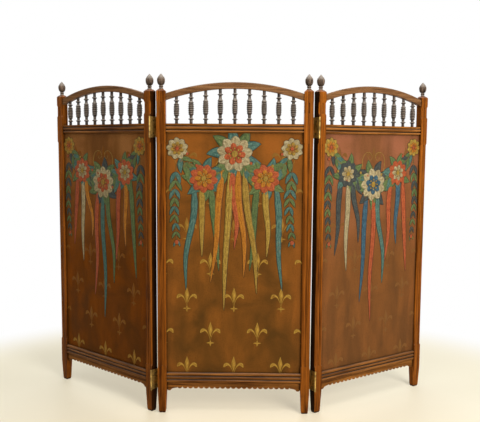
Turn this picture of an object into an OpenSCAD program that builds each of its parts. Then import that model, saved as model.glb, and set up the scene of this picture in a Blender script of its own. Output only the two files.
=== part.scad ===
// Three-fold room screen: wooden frames with a spindle gallery, leather panels and double-action hinges.
// The frame stands on the floor with +Z up. The front faces -Y, and the left wing is on the -X side.
// The origin is on the floor, in the middle of the sole of the centre fold's left foot.

/* [Folds] */
// Width of one fold over its posts
fold_w = 543; // [440:1:640]
// Height of a post's square top edge
post_h = 1146; // [1000:1:1400]
// Width of a post across the fold's face
post_w = 32; // [30:0.5:40]
// Thickness of a post from front to back
post_d = 27; // [26:0.5:32]
// Angle of the left wing back from the centre fold
left_angle = 39.5; // [0:0.5:90]
// Angle of the right wing back from the centre fold
right_angle = 34; // [0:0.5:90]

/* [Gallery] */
// Height of the open gallery at the post, from its rail up to the arch
gallery_h = 80; // [70:1:110]
// Rise of the arch from the post to its crown
arch_rise = 40; // [20:1:55]
// Depth of the arched rail, measured square to its curve
arch_h = 22.5; // [17:0.5:26]
// Depth of the gallery rail
gallery_rail_h = 32; // [28:0.5:40]
// Number of spindles in a fold
spindle_count = 9; // [5:1:11]
// Largest diameter of a spindle
spindle_d = 21; // [15:0.2:24.2]
// Number of beads turned on a spindle's barrel
barrel_beads = 7; // [5:1:9]

/* [Finials] */
// Height of a finial above the post's shoulder
finial_h = 54; // [45:1:58]
// Largest diameter of a finial
finial_d = 28; // [22:0.5:29]

/* [Base] */
// Height of the bottom rail's upper edge above the floor
base_h = 149; // [130:1:190]
// Depth of the bottom rail
base_rail_h = 37.5; // [30:0.5:44]
// Depth of the apron below the bottom rail, down to its scallops
apron_h = 22; // [18:0.5:30]
// Number of scallops between the apron's two brackets
scallop_count = 21; // [15:1:25]
// Width of the bracket at each end of the apron
bracket_w = 37; // [32:0.5:42]
// Drop of a bracket below the scallops
bracket_drop = 8; // [7:0.5:12]
// Width of a foot at the floor
toe_w = 20; // [16:0.5:24]

/* [Panel] */
// Thickness of the leather
leather_t = 2.5; // [1.5:0.1:3]
// Thickness of the board behind the leather
board_t = 6; // [4:0.5:8]

/* [Hinges] */
// Length of a hinge
hinge_l = 72; // [60:1:76]
// Thickness of a hinge plate
leaf_t = 1.6; // [1.2:0.1:2]
// Diameter of a hinge pin
pin_d = 3; // [2.4:0.1:3.4]
// Diameter of a hinge knuckle
knuckle_d = 6.4; // [6:0.1:7]

/* [Hidden] */
$fn = 64;
e = 0.01;

// Rails and boards inside a fold
inner_w = fold_w - 2 * post_w;
rail_d = post_d - 5;
arch_end = post_h - arch_h - 9;
arch_crown = arch_end + arch_rise;
gallery_top = arch_end - gallery_h;
gallery_low = gallery_top - gallery_rail_h;
base_low = base_h - base_rail_h;
tongue = 6;
board_front = -2;
leather_front = board_front - leather_t;
panel_t = leather_t + board_t;
arch_d = rail_d - 2;
apron_d = 10;
apron_y = -7;
scallop_drop = 6.5;
lobe_r = 9;

// The arch's underside is one circle through both posts and the crown
arch_r = (inner_w * inner_w / 4 + arch_rise * arch_rise) / (2 * arch_rise);
arch_z = arch_crown - arch_r;
function arch_at(x, r) = arch_z + sqrt(r * r - x * x);

// Joinery
tenon_l = 16;
tenon_d = 9;
arch_tenon_l = 12;
arch_tenon_h = 12;
arch_tenon_z = (arch_end + arch_at(inner_w / 2, arch_r + arch_h) - arch_tenon_h) / 2;
gallery_tenon = [gallery_low + tongue + 2, gallery_top - 4];
base_tenon = [base_low + 4, base_h - tongue - 2];
dowel_d = 8;
dowel_l = 14;
pin_fit = 0.05;

// Post: blocks at the rails, and stopped chamfers and grooves on the lengths between them
post_x = (fold_w - post_w) / 2;
shoulder_h = 6;
shoulder_r = 9;
leg_h = base_low - 31;
toe_h = 6;
chamfer = 4;
chamfer_stop = 6;
groove_r = 3.2;
groove_off = 1.2;
block_over = 32;
block_under = 31;
zones = [[base_h + 20, gallery_low - block_under], [gallery_top + block_over - 1, arch_end - 1]];

// Spindles
spindle_step = inner_w / (spindle_count + 0.47);
function spindle_x(i) = (i - (spindle_count - 1) / 2) * spindle_step;
spindle_r = spindle_d / 2;
spindle_pin_r = spindle_d * 0.26;
spindle_seat = 8;
spindle_root = 6;
shortest = arch_at(spindle_x(0), arch_r) - gallery_top;
unit = shortest / 93;
ring_h = 7.5 * unit;

// Hinges: the leaves are let into the posts and the link plate fills the gap, with a pin past each face
hinge_gap = leaf_t + 1;
pin_y = post_d / 2 + knuckle_d / 2 + 0.8;
knuckle_gap = 0.3;
run_fit = 0.05;
pin_head_h = 1;
screw_l = 15;
screw_r = 1.4;
screw_head_r = 2.8;
screw_head_h = 1.4;
screw_slot = 0.6;
screw_z = hinge_l * 0.3;
access_r = 3.4;
hinge_top_z = gallery_low + 20;
hinge_low_z = base_low + 8.5;

// Places
to_origin = [fold_w / 2 - post_w / 2, 0, 0];
wing_step = fold_w + hinge_gap;
hinge_x = wing_step / 2;

ARCH = "#7a4526";
POST = "#8a4a22";
TURNED = "#6b5a48";
RAIL = "#7d4223";
BOARD = "#6a4a33";
HIDE = "#5d3420";
BRASS = "#b08a3a";

// PLACES

// A fold's pieces are drawn about the middle of its width and thickness, with the floor at z = 0
module in_centre() translate(to_origin) children();

// A wing turns about its back pin, which is behind the line between the folds
module in_wing(side)
    in_centre()
        translate([side * hinge_x, pin_y, 0]) rotate([0, 0, side * (side > 0 ? right_angle : left_angle)])
            translate([side * (wing_step - hinge_x), -pin_y, 0]) children();

// A hinge is drawn about the gap between two folds in line, as on the screen's right side
module at_hinge(side, z) translate([side * hinge_x, 0, z]) mirror([side < 0 ? 1 : 0, 0, 0]) children();
module on_wing(side, z) in_wing(side) translate([-side * wing_step, 0, 0]) at_hinge(side, z) children();

// POSTS AND FINIALS

// Front or side outline of a post: eased toe, tapered leg, straight post and sloping shoulders
function post_outline(half, toe, top) = [
    [-toe, 0], [toe, 0], [toe + (half - toe) * 0.4, toe_h], [half, leg_h], [half, post_h], [top, post_h + shoulder_h],
    [-top, post_h + shoulder_h], [-half, post_h], [-half, leg_h], [-toe - (half - toe) * 0.4, toe_h]
];

module post_bar() {
    intersection() {
        rotate([90, 0, 0]) linear_extrude(post_d + 2, center = true)
            polygon(post_outline(post_w / 2, toe_w / 2, shoulder_r));
        rotate([90, 0, 90]) linear_extrude(post_w + 2, center = true)
            polygon(post_outline(post_d / 2, toe_w * post_d / post_w / 2, shoulder_r * 0.9));
    }
}

// One stopped chamfer with sloping ends, cut in from the front corner on side x of a post. The back
// corners stay square.
module corner_chamfer(x, zone) {
    deep = chamfer / sqrt(2);
    slope = chamfer_stop / deep;
    low = zone[0];
    high = zone[1];
    translate([x * post_w / 2, -post_d / 2, 0]) rotate([0, 0, atan2(1, -x)]) rotate([90, 0, 0])
        linear_extrude(4 * chamfer, center = true)
            polygon([[-1, low - slope], [deep, low + chamfer_stop], [deep, high - chamfer_stop], [-1, high + slope]]);
}

// A round-bottomed groove down the middle of the front and of the back
module post_groove(zone)
    for (s = [-1, 1])
        translate([0, s * (post_d / 2 + groove_off), zone[0] + chamfer_stop])
            cylinder(r = groove_r, h = zone[1] - zone[0] - 2 * chamfer_stop);

// Housings in a post's inner face (towards -X): three mortises and the panel's groove
module post_mortises() {
    face = -post_w / 2;
    for (t = [gallery_tenon, base_tenon])
        translate([face - e, -tenon_d / 2, t[0]]) cube([tenon_l + e, tenon_d, t[1] - t[0]]);
    translate([face - e, -tenon_d / 2, arch_tenon_z]) cube([arch_tenon_l + e, tenon_d, arch_tenon_h]);
    translate([face - e, leather_front, base_h - tongue])
        cube([tongue + e, panel_t, gallery_low - base_h + 2 * tongue]);
}

// Recess for a hinge leaf in a post's outer face, open towards the knuckles at the back or at the front
module leaf_recess(knuckle)
    translate([-hinge_gap / 2 - leaf_t, (knuckle > 0 ? 1 : -e) - post_d / 2, -hinge_l / 2])
        cube([leaf_t + 1, post_d - 1 + e, hinge_l]);

// A post of a fold: side is -1 at the fold's left edge and 1 at its right edge. Its hinges' knuckles are
// at the back (1) or at the front (-1), or it has no hinge (0).
module post(side, knuckle) {
    color(POST) translate([side * post_x, 0, 0]) mirror([side < 0 ? 1 : 0, 0, 0]) difference() {
        post_bar();
        for (zone = zones) {
            for (x = [-1, 1]) corner_chamfer(x, zone);
            post_groove(zone);
        }
        post_mortises();
        translate([0, 0, post_h + shoulder_h - dowel_l]) cylinder(d = dowel_d + 2 * pin_fit, h = dowel_l + 1);
        if (knuckle != 0) for (z = [hinge_top_z, hinge_low_z]) translate([post_w / 2 + hinge_gap / 2, 0, z]) {
            leaf_recess(knuckle);
            leaf_screws();
        }
    }
}

// A finial: collar, neck with a small ring, and an egg that comes to a point
module finial(side) {
    r = finial_d / 2;
    neck = r * 0.46;
    egg = finial_h * 0.26;
    wide = finial_h * 0.59;
    color(TURNED) translate([side * post_x, 0, post_h + shoulder_h]) union() {
        translate([0, 0, -dowel_l]) cylinder(d = dowel_d, h = dowel_l + 1);
        rotate_extrude() polygon(concat(
            [[0, 0], [r * 0.6, 0], [r * 0.6, finial_h * 0.03], [neck, finial_h * 0.09], [neck, finial_h * 0.13],
             [neck * 1.2, finial_h * 0.16], [neck * 1.2, finial_h * 0.19], [neck, egg - finial_h * 0.02]],
            [for (a = [0:10:90]) [neck + (r - neck) * sin(a), egg + (wide - egg) * (1 - cos(a))]],
            [for (a = [10:10:80]) [r * cos(a), wide + (finial_h - wide) * a / 90]],
            [[0, finial_h]]
        ));
    }
}

// RAILS, SPINDLES AND APRON

// Section of the arched rail, its width along Y: square below with a small chamfer, rounded above
function arch_section(half, edge, soft) = let (top = arch_r + arch_h - soft) concat(
    [[arch_r, edge - half], [arch_r + edge, -half]],
    [for (a = [0:18:90]) [top + soft * sin(a), soft - half - soft * cos(a)]],
    [for (a = [90:-18:0]) [top + soft * sin(a), half - soft + soft * cos(a)]],
    [[arch_r + edge, half], [arch_r, half - edge]]
);

// Arched rail: a moulded bar on a circle, cut upright at the posts, with a tenon at each end
module arch_bar() {
    reach = asin((inner_w / 2 + 4) / arch_r);
    union() {
        intersection() {
            translate([0, 0, arch_z]) rotate([90, 0, 0])
                rotate_extrude(angle = 2 * reach, start = 90 - reach, $fn = 360) polygon(arch_section(arch_d / 2, 1.5, 4));
            translate([-inner_w / 2, -rail_d, arch_end - 20]) cube([inner_w, 2 * rail_d, arch_rise + arch_h + 40]);
        }
        for (s = [-1, 1]) translate([s * (inner_w / 2 + arch_tenon_l / 2 - 1), 0, arch_tenon_z + arch_tenon_h / 2])
            cube([arch_tenon_l + 2, tenon_d, arch_tenon_h], center = true);
    }
}

// The finished rail has the spindles' holes in its underside
module arched_rail() color(ARCH) difference() {
    arch_bar();
    for (i = [0:spindle_count - 1]) translate([spindle_x(i), 0, spindle_top(i) - spindle_seat - spindle_root])
        cylinder(r = spindle_pin_r + pin_fit, h = spindle_seat + spindle_root);
}
function spindle_top(i) = arch_at(spindle_x(i), arch_r) + spindle_root;

// A tenon at each end of a straight rail, between the two heights
module rail_tenons(t)
    for (s = [-1, 1]) translate([s * (inner_w / 2 + tenon_l / 2 - 1), 0, (t[0] + t[1]) / 2])
        cube([tenon_l + 2, tenon_d, t[1] - t[0]], center = true);

// Gallery rail: a fillet, a large bead and a small bead on the front, bored for the spindles
module gallery_rail() {
    k = gallery_rail_h / 32;
    front = -rail_d / 2;
    color(RAIL) difference() {
        union() {
            translate([0, 0, gallery_low]) rotate([90, 0, 90]) linear_extrude(inner_w, center = true) union() {
                translate([front + 3.5, 0]) square([rail_d - 3.5, gallery_rail_h]);
                translate([front, gallery_rail_h - 6.6 * k]) square([rail_d, 6.6 * k]);
                translate([front + 5, 17.7 * k]) circle(r = 6 * k);
                translate([front + 2.8, 5.5 * k]) circle(r = 3.6 * k);
            }
            rail_tenons(gallery_tenon);
        }
        translate([-inner_w / 2 - 1, leather_front, gallery_low - 1]) cube([inner_w + 2, panel_t, tongue + 1]);
        for (i = [0:spindle_count - 1]) translate([spindle_x(i), 0, gallery_top - spindle_seat])
            cylinder(r = spindle_pin_r + pin_fit, h = spindle_seat + 1);
    }
}

// Bottom rail: three even reeds on the front
module bottom_rail() {
    pitch = base_rail_h / 3;
    front = -rail_d / 2;
    color(RAIL) difference() {
        union() {
            translate([0, 0, base_low]) rotate([90, 0, 90]) linear_extrude(inner_w, center = true) union() {
                translate([front + 3.5, 0]) square([rail_d - 3.5, base_rail_h]);
                intersection() {
                    for (i = [0:2]) translate([front + pitch / 2 - 1, (i + 0.5) * pitch]) circle(r = pitch / 2 + 0.2);
                    translate([front - 2, 0]) square([rail_d / 2, base_rail_h]);
                }
            }
            rail_tenons(base_tenon);
        }
        translate([-inner_w / 2 - 1, leather_front, base_h - tongue]) cube([inner_w + 2, panel_t, tongue + 1]);
    }
}

// Spindle outline from its lower pin to its upper pin. The length past the shortest spindle goes to
// the barrel and the necks, so that every bottom ring stands on one line.
function barrel(z, h, r) = [
    for (i = [0:barrel_beads - 1], j = [0:3])
        let (bulge = 0.86 + 0.14 * sin(180 * (i + 0.5) / barrel_beads))
            [r * bulge * [0.78, 0.96, 1, 0.96][j], z + h * (i + j * 0.25 + 0.02) / barrel_beads]
];
function ring(z, neck) = [
    [neck, z - ring_h / 2], [spindle_r * 0.84, z - ring_h * 0.22], [spindle_r * 0.92, z],
    [spindle_r * 0.84, z + ring_h * 0.22], [neck, z + ring_h / 2]
];
function neck_bead(z, neck) = [[neck, z - 1.5 * unit], [neck * 1.16, z], [neck, z + 1.5 * unit]];
module spindle(i) {
    h = spindle_top(i) - spindle_root - gallery_top;
    spare = h - shortest;
    low_ring = 16 * unit;
    barrel_z = 26.4 * unit + spare * 0.3;
    barrel_end = barrel_z + 43.3 * unit + spare * 0.17;
    high_ring = barrel_end + 9.6 * unit + spare * 0.36;
    pin = spindle_pin_r;
    neck = pin * 0.97;
    translate([spindle_x(i), 0, gallery_top]) rotate_extrude($fn = 40) polygon(concat(
        [[0, -spindle_seat], [pin, -spindle_seat]],
        ring(low_ring, pin),
        neck_bead((low_ring + ring_h / 2 + barrel_z) / 2, neck),
        barrel(barrel_z, barrel_end - barrel_z, spindle_r),
        neck_bead((barrel_end + high_ring - ring_h / 2) / 2, neck),
        ring(high_ring, pin),
        [[pin, h + spindle_root], [0, h + spindle_root]]
    ));
}
module spindles() color(TURNED) for (i = [0:spindle_count - 1]) spindle(i);

// Bracket at an apron's end, drawn from the post and from the scallops' line: a full lobe against the
// post, then a hollow sweep up to the scallops
module bracket() {
    join = [lobe_r * (1 + cos(20)), lobe_r * (1 - sin(20)) - bracket_drop];
    run = bracket_w - join[0];
    rise = scallop_drop / 3 - join[1];
    sweep = (run * run + rise * rise) / (2 * rise);
    translate([lobe_r, lobe_r - bracket_drop]) circle(r = lobe_r);
    difference() {
        translate([0, join[1]]) square([bracket_w, scallop_drop - join[1]]);
        translate([bracket_w, scallop_drop / 3 - sweep]) circle(r = sweep);
    }
}

// Apron: a thin board with a row of scallops along its lower edge and a bracket at each post
module apron() {
    pitch = (inner_w - 2 * bracket_w) / scallop_count;
    lobe = (pitch * pitch / 4 + scallop_drop * scallop_drop) / (2 * scallop_drop);
    low = base_low - apron_h;
    color(RAIL) translate([0, apron_y + apron_d / 2, 0]) rotate([90, 0, 0]) linear_extrude(apron_d, center = true)
        union() {
            translate([-inner_w / 2, low + scallop_drop - 0.5]) square([inner_w, apron_h - scallop_drop + 0.5]);
            intersection() {
                translate([-inner_w / 2, low]) square([inner_w, apron_h]);
                for (i = [0:scallop_count - 1])
                    translate([(i + 0.5 - scallop_count / 2) * pitch, low + lobe]) circle(r = lobe);
            }
            for (s = [0, 1]) mirror([s, 0]) translate([-inner_w / 2, low]) bracket();
        }
}

// LEATHER PANEL

panel_h = gallery_low - base_h;

// Backing board, its edges in the grooves of the posts and rails
module board() color(BOARD) translate([-inner_w / 2 - tongue, board_front, base_h - tongue])
    cube([inner_w + 2 * tongue, board_t, panel_h + 2 * tongue]);

// Leather on the front of the board, held with it in the grooves
module leather() color(HIDE) translate([-inner_w / 2 - tongue, leather_front, base_h - tongue])
    cube([inner_w + 2 * tongue, leather_t, panel_h + 2 * tongue]);

// HINGES

// Knuckle heights: the middle third belongs to one plate and the outer thirds to the other
third = hinge_l / 3;
MIDDLE = [[-third / 2 + knuckle_gap / 2, third / 2 - knuckle_gap / 2]];
ENDS = [[-hinge_l / 2, -third / 2 - knuckle_gap / 2], [third / 2 + knuckle_gap / 2, hinge_l / 2]];

// A plate's rolled knuckles at the pin on the given side, joined to the plate whose x range is given
module knuckles(y, x, spans) for (z = spans) {
    translate([0, y, z[0]]) cylinder(d = knuckle_d, h = z[1] - z[0]);
    translate([x[0], y > 0 ? post_d / 2 - 1 : y, z[0]]) cube([x[1] - x[0], pin_y - post_d / 2 + 1, z[1] - z[0]]);
}
module pin_hole(y, loose) translate([0, y, -hinge_l]) cylinder(d = pin_d + 2 * loose, h = 2 * hinge_l);
module plate(x, y) translate([x[0], y[0], -hinge_l / 2]) cube([x[1] - x[0], y[1] - y[0], hinge_l]);

module fixed_leaf() color(BRASS) difference() {
    x = [-hinge_gap / 2 - leaf_t, -hinge_gap / 2];
    union() {
        plate(x, [1 - post_d / 2, post_d / 2]);
        knuckles(pin_y, x, MIDDLE);
    }
    pin_hole(pin_y, 0);
    leaf_screws();
}

module link() color(BRASS) difference() {
    x = [-leaf_t / 2, leaf_t / 2];
    union() {
        plate(x, [-post_d / 2, post_d / 2]);
        knuckles(pin_y, x, ENDS);
        knuckles(-pin_y, x, MIDDLE);
    }
    pin_hole(pin_y, run_fit);
    pin_hole(-pin_y, run_fit);
    for (s = [-1, 1]) translate([0, 0, s * screw_z]) rotate([0, 90, 0]) cylinder(r = access_r, h = 4 * leaf_t, center = true);
}

module wing_leaf() color(BRASS) difference() {
    x = [hinge_gap / 2, hinge_gap / 2 + leaf_t];
    union() {
        plate(x, [-post_d / 2, post_d / 2 - 1]);
        knuckles(-pin_y, x, ENDS);
    }
    pin_hole(-pin_y, 0);
    mirror([1, 0, 0]) leaf_screws();
}

// A hinge pin with a thin button head above and below the knuckles
module hinge_pin(y) color(BRASS) translate([0, y, 0]) union() {
    cylinder(d = pin_d, h = hinge_l + 2 * knuckle_gap, center = true);
    for (s = [0, 180]) rotate([s, 0, 0]) translate([0, 0, hinge_l / 2 + knuckle_gap])
        cylinder(d = knuckle_d * 0.75, h = pin_head_h);
}

// The two countersunk screws of a leaf on the -X side of the gap, driven towards -X
module leaf_screws() for (s = [-1, 1])
    translate([-hinge_gap / 2, 0, s * screw_z]) rotate([0, -90, 0]) union() {
        cylinder(r1 = screw_head_r, r2 = screw_r, h = screw_head_h);
        cylinder(r = screw_r, h = screw_l);
    }
module slotted_screws() color(BRASS) difference() {
    leaf_screws();
    for (s = [-1, 1]) translate([-hinge_gap / 2, 0, s * screw_z]) rotate([40 * s, 0, 0])
        cube([2 * screw_slot, screw_slot, 3 * screw_head_r], center = true);
}

// The fixed leaf and the back pin stay with the centre fold. The link, the wing leaf and the front pin
// turn with the wing, as it stands folded about the back pin.
module on_centre(side, z) in_centre() at_hinge(side, z) children();

// Screws of the fixed leaves, and of one wing's leaves
module centre_screws() for (s = [-1, 1], z = [hinge_top_z, hinge_low_z]) on_centre(s, z) slotted_screws();
module wing_screws(side) for (z = [hinge_top_z, hinge_low_z]) on_wing(side, z) mirror([1, 0, 0]) slotted_screws();

// THE SCREEN

in_centre() post(-1, 1);  // centre_left_post
in_centre() post(1, 1);  // centre_right_post
in_wing(-1) post(-1, 0);  // left_outer_post
in_wing(-1) post(1, -1);  // left_inner_post
in_wing(1) post(-1, -1);  // right_inner_post
in_wing(1) post(1, 0);  // right_outer_post
in_centre() finial(-1);  // centre_left_finial
in_centre() finial(1);  // centre_right_finial
in_wing(-1) finial(-1);  // left_outer_finial
in_wing(-1) finial(1);  // left_inner_finial
in_wing(1) finial(-1);  // right_inner_finial
in_wing(1) finial(1);  // right_outer_finial
in_centre() arched_rail();  // centre_arched_rail
in_centre() gallery_rail();  // centre_gallery_rail
in_centre() spindles();  // centre_spindles
in_centre() bottom_rail();  // centre_bottom_rail
in_centre() apron();  // centre_apron
in_centre() board();  // centre_board
in_centre() leather();  // centre_leather
in_wing(-1) arched_rail();  // left_arched_rail
in_wing(-1) gallery_rail();  // left_gallery_rail
in_wing(-1) spindles();  // left_spindles
in_wing(-1) bottom_rail();  // left_bottom_rail
in_wing(-1) apron();  // left_apron
in_wing(-1) board();  // left_board
in_wing(-1) leather();  // left_leather
in_wing(1) arched_rail();  // right_arched_rail
in_wing(1) gallery_rail();  // right_gallery_rail
in_wing(1) spindles();  // right_spindles
in_wing(1) bottom_rail();  // right_bottom_rail
in_wing(1) apron();  // right_apron
in_wing(1) board();  // right_board
in_wing(1) leather();  // right_leather
on_centre(-1, hinge_top_z) fixed_leaf();  // left_top_hinge_fixed_leaf
on_wing(-1, hinge_top_z) link();  // left_top_hinge_link
on_wing(-1, hinge_top_z) wing_leaf();  // left_top_hinge_wing_leaf
on_centre(-1, hinge_top_z) hinge_pin(pin_y);  // left_top_hinge_back_pin
on_wing(-1, hinge_top_z) hinge_pin(-pin_y);  // left_top_hinge_front_pin
on_centre(-1, hinge_low_z) fixed_leaf();  // left_low_hinge_fixed_leaf
on_wing(-1, hinge_low_z) link();  // left_low_hinge_link
on_wing(-1, hinge_low_z) wing_leaf();  // left_low_hinge_wing_leaf
on_centre(-1, hinge_low_z) hinge_pin(pin_y);  // left_low_hinge_back_pin
on_wing(-1, hinge_low_z) hinge_pin(-pin_y);  // left_low_hinge_front_pin
on_centre(1, hinge_top_z) fixed_leaf();  // right_top_hinge_fixed_leaf
on_wing(1, hinge_top_z) link();  // right_top_hinge_link
on_wing(1, hinge_top_z) wing_leaf();  // right_top_hinge_wing_leaf
on_centre(1, hinge_top_z) hinge_pin(pin_y);  // right_top_hinge_back_pin
on_wing(1, hinge_top_z) hinge_pin(-pin_y);  // right_top_hinge_front_pin
on_centre(1, hinge_low_z) fixed_leaf();  // right_low_hinge_fixed_leaf
on_wing(1, hinge_low_z) link();  // right_low_hinge_link
on_wing(1, hinge_low_z) wing_leaf();  // right_low_hinge_wing_leaf
on_centre(1, hinge_low_z) hinge_pin(pin_y);  // right_low_hinge_back_pin
on_wing(1, hinge_low_z) hinge_pin(-pin_y);  // right_low_hinge_front_pin
centre_screws();
wing_screws(-1);  // left_screws
wing_screws(1);  // right_screws
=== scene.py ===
import math
import random

import bmesh
import bpy
import numpy as np
from mathutils import Matrix, Vector, noise


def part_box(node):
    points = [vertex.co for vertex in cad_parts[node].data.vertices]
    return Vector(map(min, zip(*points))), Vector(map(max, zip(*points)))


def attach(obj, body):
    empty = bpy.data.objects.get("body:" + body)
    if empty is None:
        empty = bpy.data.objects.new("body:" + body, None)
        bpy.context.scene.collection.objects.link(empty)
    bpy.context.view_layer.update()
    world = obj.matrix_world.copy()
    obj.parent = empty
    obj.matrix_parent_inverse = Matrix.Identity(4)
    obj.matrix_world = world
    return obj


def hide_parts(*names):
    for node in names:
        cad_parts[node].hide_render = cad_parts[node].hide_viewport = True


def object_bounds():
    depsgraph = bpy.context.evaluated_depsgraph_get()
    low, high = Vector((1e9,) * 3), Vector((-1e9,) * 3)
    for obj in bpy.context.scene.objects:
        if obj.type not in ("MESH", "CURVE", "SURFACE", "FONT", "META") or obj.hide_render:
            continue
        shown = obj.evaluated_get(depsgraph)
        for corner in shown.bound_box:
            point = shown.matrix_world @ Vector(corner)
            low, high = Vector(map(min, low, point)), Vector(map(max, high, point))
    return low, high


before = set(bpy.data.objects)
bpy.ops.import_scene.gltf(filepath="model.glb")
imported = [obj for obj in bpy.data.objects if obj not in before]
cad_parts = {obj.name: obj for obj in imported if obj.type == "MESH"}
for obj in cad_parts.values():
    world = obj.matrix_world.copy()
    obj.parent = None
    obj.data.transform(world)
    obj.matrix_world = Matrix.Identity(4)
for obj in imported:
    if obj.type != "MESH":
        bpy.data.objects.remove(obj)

cad_low, cad_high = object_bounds()

# POSTS
# Six slender square posts of red-brown wood, two to a fold, grooved between their stopped chamfers.
# They were planed and polished, and hands have rubbed the edges thin. They are painted darker low down
# as painted shade, and the sides at the hinges are painted nearly black as painted shade between the folds.

FOLDS = ("centre", "left", "right")
FOLD_BODY = {"centre": "centre", "left": "left_wing", "right": "right_wing"}
FOLD_POSTS = {
    "centre": ("centre_left", "centre_right"),
    "left": ("left_outer", "left_inner"),
    "right": ("right_inner", "right_outer"),
}
POST_DARK = (0.048, 0.010, 0.0008)
POST_LIGHT = (0.350, 0.100, 0.0088)
POST_STRETCH = (130.0, 130.0, 3.0)
# Painted shade: how much darker each fold's posts are painted low down.
POST_LOW_SHADE = {"centre": 0.24, "left": 0.24, "right": 0.08}
# Dirt and painted shade share this colour: pores, hollows, undersides, low parts and the sides between the
# folds.
GRIME_AND_SHADE = (0.007, 0.0025, 0.0008)
# Dust and a painted highlight share this colour, on what faces up.
DUST_AND_SHEEN = (0.300, 0.245, 0.190)
EDGE_WIDTH = 0.0012
HOLLOW_REACH = 0.012
HOLLOW_ROUGH = 0.25
# Painted shade low down: none above the first height, full below the second.
LOW_SHADE_ABOVE = 0.90
LOW_SHADE_BELOW = 0.58
CLOUDED = 0.30
PORES_SHOW = 0.40
PORE_DEPTH = 0.0004
EDGES_SHOW = 0.55
# How far a side between the folds is painted towards the dark, as painted shade.
SIDE_SHADE_SHOWS = 0.90
UNEVEN_GLOSS = 0.14


def add(tree, kind, inputs=None, **settings):
    """Adds a shader node. An input is a plain value or the socket that feeds it."""
    made = tree.nodes.new("ShaderNode" + kind)
    for key, value in settings.items():
        setattr(made, key, value)
    for key, value in (inputs or {}).items():
        socket = made.inputs[key]
        if isinstance(value, bpy.types.NodeSocket):
            tree.links.new(value, socket)
        else:
            socket.default_value = value
    return made


def reckon(tree, operation, first, second=0.0):
    return add(tree, "Math", {0: first, 1: second}, operation=operation).outputs[0]


def tint(tree, share, first, second):
    """Colour between first and second, by share."""
    colours = [c if isinstance(c, bpy.types.NodeSocket) else (*c, 1.0) for c in (first, second)]
    made = add(tree, "Mix", {0: share, 6: colours[0], 7: colours[1]}, data_type="RGBA")
    return made.outputs[2]


def lay_on(tree, colour, mask, most, second):
    """Lays a second colour on where the mask is high, up to the share that most gives."""
    return tint(tree, reckon(tree, "MULTIPLY", mask, most), colour, second)


def spread(tree, value, low, high, to_low=0.0, to_high=1.0):
    """Value taken from the range low to high onto the range to_low to to_high, and held at its ends."""
    inputs = {"Value": value, "From Min": low, "From Max": high, "To Min": to_low, "To Max": to_high}
    return add(tree, "MapRange", inputs).outputs["Result"]


def grain_noise(tree, place, scale, detail=4.0, distortion=0.0):
    inputs = {"Vector": place, "Scale": scale, "Detail": detail, "Distortion": distortion}
    return add(tree, "TexNoise", inputs).outputs["Fac"]


def start_group(name, inputs, outputs):
    """A shader node group with its sockets, its input sockets and its output node."""
    tree = bpy.data.node_groups.new(name, "ShaderNodeTree")
    for socket, kind in inputs.items():
        tree.interface.new_socket(name=socket, in_out="INPUT", socket_type="NodeSocket" + kind)
    for socket, kind in outputs.items():
        tree.interface.new_socket(name=socket, in_out="OUTPUT", socket_type="NodeSocket" + kind)
    given = tree.nodes.new("NodeGroupInput").outputs
    return tree, given, tree.nodes.new("NodeGroupOutput").inputs


def place_group(tree, group, **inputs):
    made = tree.nodes.new("ShaderNodeGroup")
    made.node_tree = group
    for key, value in inputs.items():
        made.inputs[key].default_value = value
    return made.outputs


def build_wood_figure():
    """Figure, pores and slow clouding of wood whose fibres run along one direction."""
    tree, given, out = start_group(
        "wood figure", {"Stretch": "Vector", "Turn": "Float"},
        {"Figure": "Float", "Pores": "Float", "Cloud": "Float"},
    )
    place = add(tree, "TexCoord").outputs["Object"]
    turned = add(tree, "VectorRotate", {"Vector": place, "Angle": given["Turn"]}, rotation_type="Z_AXIS")
    along = add(tree, "VectorMath", {0: turned.outputs[0], 1: given["Stretch"]}, operation="MULTIPLY")
    figure = grain_noise(tree, along.outputs[0], 1.0, 5.0, 0.9)
    pores = grain_noise(tree, along.outputs[0], 7.0, 3.0)
    cloud = grain_noise(tree, place, 9.0, 3.0, 0.5)
    tree.links.new(spread(tree, figure, 0.35, 0.64), out["Figure"])
    tree.links.new(spread(tree, pores, 0.45, 0.66), out["Pores"])
    tree.links.new(spread(tree, cloud, 0.35, 0.65), out["Cloud"])
    return tree


def build_worn_edges():
    """Edge is high where a corner has been rubbed, and Hollow in the hollows that ambient occlusion finds,
    where dirt lodges and shade falls.
    """
    tree, given, out = start_group(
        "worn edges", {"Width": "Float", "Reach": "Float"}, {"Edge": "Float", "Hollow": "Float"}
    )
    soft = add(tree, "Bevel", {"Radius": given["Width"]}, samples=4)
    sharp = add(tree, "NewGeometry").outputs["Normal"]
    same = add(tree, "VectorMath", {0: soft.outputs[0], 1: sharp}, operation="DOT_PRODUCT").outputs["Value"]
    edge = spread(tree, same, 0.98, 0.80)
    patchy = grain_noise(tree, add(tree, "TexCoord").outputs["Object"], 45.0, 4.0)
    open_air = add(tree, "AmbientOcclusion", {"Distance": given["Reach"]}, samples=6).outputs["AO"]
    tree.links.new(reckon(tree, "MULTIPLY", edge, spread(tree, patchy, 0.35, 0.6)), out["Edge"])
    tree.links.new(spread(tree, open_air, 0.90, 0.35), out["Hollow"])
    return tree


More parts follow.
